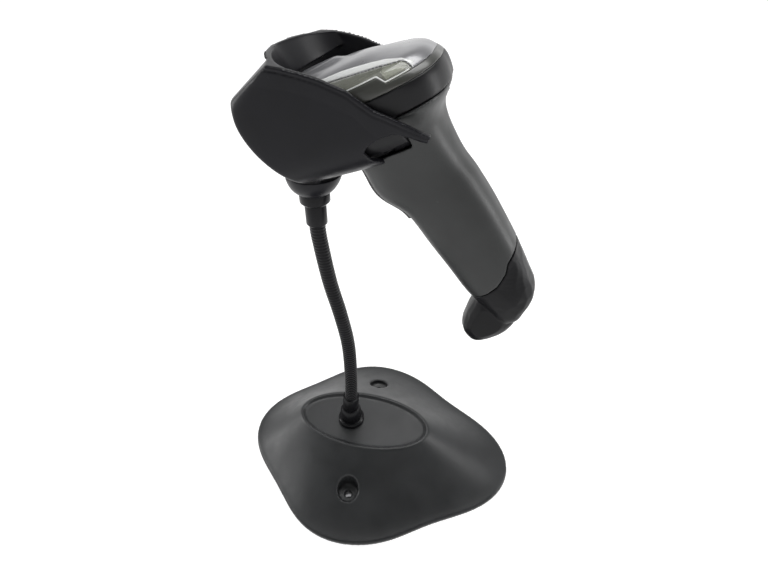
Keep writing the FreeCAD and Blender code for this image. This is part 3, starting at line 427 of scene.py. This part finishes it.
def ribbed_tube(name, z_from, z_to):
    """A stretch of the neck: a tube wound of round-backed ribs."""
    around, per_rib = 32, 8
    steps = round((z_to - z_from) / RIB_PITCH * per_rib)
    shape = bmesh.new()
    rings = []
    for i in range(steps + 1):
        z = z_from + (z_to - z_from) * i / steps
        y = neck_path(z)
        slope = (neck_path(z + 0.2) - neck_path(z - 0.2)) / 0.4
        up = Vector((0, slope, 1)).normalized()
        out = Vector((0, up.z, -up.y))
        ring = []
        for k in range(around):
            turn = 2 * math.pi * k / around
            wind = (z / RIB_PITCH + k / around) % 1.0
            radius = NECK_RADIUS - RIB_DEPTH * (1 - math.sin(math.pi * wind) ** 0.6)
            place = Vector((0, y, z)) + (Vector((1, 0, 0)) * math.cos(turn) + out * math.sin(turn)) * radius
            ring.append(shape.verts.new(place * MM))
        rings.append(ring)
    for one, two in zip(rings, rings[1:]):
        for k in range(around):
            shape.faces.new((one[k], one[(k + 1) % around], two[(k + 1) % around], two[k]))
    shape.faces.new(rings[0][::-1])
    shape.faces.new(rings[-1])
    mesh = bpy.data.meshes.new(name)
    shape.to_mesh(mesh)
    shape.free()
    obj = new_piece(name, mesh, finishes["neck_black"])
    obj.data.shade_smooth()
    return obj


def on_neck(z):
    return (0, neck_path(z) * MM, z * MM)


neck_cuts = [58.0, 95.0 + RIB_PITCH * 0.25, 151.0, 222.0]
neck_bends = [
    ("neck_tube_low", "base", "neck_low", "neck_lower", 64.0, 88.0),
    ("neck_tube_middle", "neck_low", "neck_mid", "neck_middle", 108.0, 140.0),
    ("neck_tube_high", "neck_mid", "cradle", "neck_upper", 162.0, 196.0),
]
for (name, below, above, node, start, end), z_from, z_to in zip(neck_bends, neck_cuts, neck_cuts[1:]):
    tube = ribbed_tube(name, z_from, z_to)
    on_neck(start)
    on_neck(end)
    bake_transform(tube)
    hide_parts(node)

# ---------------------------------------------------------------------------- the cradle

RIM_LINE = [(-40, 34.5), (-31.7, 33.5), (-26, 31), (-16, 25.9), (-9, 21.3), (-3, 16.8), (6, 8.2), (13, -2.5),
            (19.5, -9), (25, -15), (30.5, -22.5), (33, -26)]


def below_rim(point):
    """How far a point of the cradle lies below its rim, in millimetres, square to the rim."""
    _, y, z = in_head(point)
    slope = (read_line(RIM_LINE, y + 2) - read_line(RIM_LINE, y - 2)) / 4
    return (read_line(RIM_LINE, y) - z) / math.hypot(1, slope)


BAND_START, BAND_WIDTH, BAND_END = 2.0, 6.5, 11.0
LEVEL_FACE = 0.55


def rim_lip(point, normal):
    """A rounded lip at the rim, a fine groove below it and a band that flares out towards the rim."""
    x, _, z = in_head(point)
    depth = below_rim(point)
    facing_up = in_head(point + normal * MM)[2] - z
    if depth > BAND_END or facing_up > LEVEL_FACE:
        return 0.0
    sideways, forwards = normal.x * math.copysign(1, x), -normal.y
    outward = ease(0.2, 0.7, max(sideways, forwards))
    lip = 0.7 * (1 - ease(1.1, 1.7, depth))
    groove = -0.25 * ease(1.4, 1.8, depth) * (1 - ease(2.0, 2.5, depth))
    band = 0.6 * ease(1.5, 1.9, depth) * (1 - min(1.0, max(0.0, (depth - BAND_START) / BAND_WIDTH)))
    return outward * (lip + groove + band)


def round_off(obj, amount, rounds):
    """Smooths a piece further where amount(vertex place) is above nought."""
    group = obj.vertex_groups.new(name="rounding")
    for vertex in obj.data.vertices:
        group.add([vertex.index], amount(vertex.co), "REPLACE")
    soften = obj.modifiers.new("round", "SMOOTH")
    soften.vertex_group = group.name
    soften.iterations = rounds
    settle(obj)
    obj.data.shade_smooth()


def hood_share(point):
    """One on the cradle's hood and on the front of its collar, nought at the back and near the rim."""
    _, y, _ = in_head(point)
    return (1 - ease(-34, -22, y)) * ease(1.0, 5.0, below_rim(point))


cup = cast("cradle_cup_shell", "cradle_cup", 0.5, 6)
round_off(cup, hood_share, 40)
push(cup, rim_lip)
take_over(cup, "cradle_cup")
bracket = cast("cup_bracket_shell", "cup_bracket", 0.4, 4)
take_over(bracket, "cup_bracket")

# ----------------------------------------------------------------------- the scanner head

head_parts = {
    "head_cover_shell": ("top_cover", 0.5, 6),
    "head_band_shell": ("band_shell", 0.4, 3),
    "head_lower_shell": ("lower_shell", 0.5, 5),
    "nose_bezel_shell": ("nose_bezel", 0.35, 3),
    "indicator_right_shell": ("indicator_block_right", 0.25, 5),
    "indicator_left_shell": ("indicator_block_left", 0.25, 5),
    "grip_shell_skin": ("grip_shell", 0.55, 8),
    "trigger_skin": ("trigger", 0.4, 5),
    "battery_cap_skin": ("battery_cap", 0.5, 7),
}
skins = {}
for name, (node, voxel, rounds) in head_parts.items():
    skins[name] = cast(name, node, voxel, rounds)
    take_over(skins[name], node)
round_off(skins["head_cover_shell"], lambda point: ease(11.5, 14.5, in_head(point)[2]), 120)

# painted highlight: a bright pale strip along the windows' upper edge, widening to a point at the back, where
# the cover shows a reflection
HIGHLIGHT_LOW = [(-30, 13.4), (-2, 11.2), (8, 10.3), (17.4, 9.2), (23, 8.2), (27.5, 7.4), (29.8, 5.8), (31.2, 3.4)]
HIGHLIGHT_HIGH = [(-30, 14.3), (-8, 13.0), (0, 12.7), (6.2, 12.0), (13.7, 10.9), (20.3, 9.7), (27.2, 7.9),
             (31.6, 5.4)]
STEPS_ALONG = 60
for side, tag in ((1, "right"), (-1, "left")):
    highlight_strip = strip_on("cover_highlight_" + tag, skins["head_cover_shell"], sampled(HIGHLIGHT_LOW, STEPS_ALONG),
                    sampled(HIGHLIGHT_HIGH, STEPS_ALONG), side, 4, painted_highlight_silver)
    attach(highlight_strip, "scanner")

# painted highlight: a bright pale strip along the windows' lower edge, where the edge catches the light
EDGE_LINE = [(-26, 6.7), (17.3, 6.6), (20.4, 3.5), (29.8, 3.4)]
EDGE_WIDTH = 0.4
for side, tag in ((1, "right"), (-1, "left")):
    low_line = sampled(EDGE_LINE, STEPS_ALONG)
    high_line = [(y + EDGE_WIDTH * 0.4, z + EDGE_WIDTH) for y, z in low_line]
    edge = strip_on("window_edge_highlight_" + tag, nodes["side_window_" + tag], low_line, high_line, side, 1,
                    painted_highlight_silver, proud=0.08)
    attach(edge, "scanner")

# --------------------------------------------------------------- the CAD parts that stay

for name, obj in nodes.items():
    obj.data.materials.clear()
    obj.data.materials.append(finishes[slots[name]])
    if obj.hide_render:
        continue
    weld = obj.modifiers.new("weld", "WELD")
    weld.merge_threshold = SAME_PLACE
    bevel = obj.modifiers.new("edge", "BEVEL")
    bevel.width = 0.2 * MM
    bevel.segments = 2
    bevel.limit_method = "ANGLE"
    bevel.angle_limit = math.radians(35)
    bevel.harden_normals = True
    obj.data.shade_smooth()

# ------------------------------------------------------------------ camera, floor, lights

scene = bpy.context.scene
camera_data = bpy.data.cameras.new("camera")
camera_data.sensor_width = 36.0
camera_data.lens = 22.378
camera = bpy.data.objects.new("camera", camera_data)
camera.location = (0.22717, 0.06109, 0.370)
camera.rotation_euler = (math.radians(50.62), 0.0, math.radians(102.73))
scene.collection.objects.link(camera)
scene.camera = camera

floor_mesh = bpy.data.meshes.new("floor")
floor_mesh.from_pydata([(-4, -4, 0), (4, -4, 0), (4, 4, 0), (-4, 4, 0)], [], [(0, 1, 2, 3)])
floor = bpy.data.objects.new("floor", floor_mesh)
floor_finish = Nodes("floor_pale")
pale = floor_finish.blend(floor_finish.noise(3.0), (0.28, 0.28, 0.28, 1.0), (0.32, 0.32, 0.32, 1.0))
floor_finish.set(Base_Color=pale)
floor_finish.shader.inputs["Roughness"].default_value = 0.9
floor_finish.shader.inputs["Emission Color"].default_value = (1.0, 1.0, 1.0, 1.0)
floor_finish.shader.inputs["Emission Strength"].default_value = 0.92
floor_mesh.materials.append(floor_finish.material)
scene.collection.objects.link(floor)


def softbox(name, place, size, watts):
    light = bpy.data.lights.new(name, "AREA")
    light.shape = "RECTANGLE"
    light.size, light.size_y = size
    light.energy = watts
    obj = bpy.data.objects.new(name, light)
    obj.location = place
    obj.rotation_euler = (Vector((0, 0, 0.2)) - Vector(place)).to_track_quat("-Z", "Y").to_euler()
    scene.collection.objects.link(obj)


softbox("top_light", (-0.5, 0.1, 1.5), (0.9, 0.9), 12)
softbox("left_light", (0.1, -1.5, 0.8), (0.35, 1.2), 12)
softbox("right_light", (-0.4, 1.5, 0.7), (0.35, 1.2), 11)
softbox("front_light", (1.6, 0.5, 1.3), (0.8, 0.5), 1.5)

sun_data = bpy.data.lights.new("ceiling", "SUN")
sun_data.energy = 0.6
sun_data.angle = math.radians(50)
sun = bpy.data.objects.new("ceiling", sun_data)
sun.rotation_euler = (math.radians(8), math.radians(-12), 0)
scene.collection.objects.link(sun)

# a studio with a pale wall at eye level and a dark ceiling
PALE_UP_TO, DARK_FROM = 0.30, 0.52
world = bpy.data.worlds.new("studio")
world.use_nodes = True
sky = world.node_tree
height = sky.nodes.new("ShaderNodeSeparateXYZ")
sky.links.new(sky.nodes.new("ShaderNodeTexCoord").outputs["Generated"], height.inputs["Vector"])
fade = sky.nodes.new("ShaderNodeMapRange")
sky.links.new(height.outputs["Z"], fade.inputs["Value"])
for key, value in {"From Min": PALE_UP_TO, "From Max": DARK_FROM, "To Min": 1.0, "To Max": 0.07}.items():
    fade.inputs[key].default_value = value
sky.links.new(fade.outputs["Result"], sky.nodes["Background"].inputs["Strength"])
sky.nodes["Background"].inputs["Color"].default_value = (1.0, 1.0, 1.0, 1.0)
scene.world = world
scene.view_settings.view_transform = "Standard"
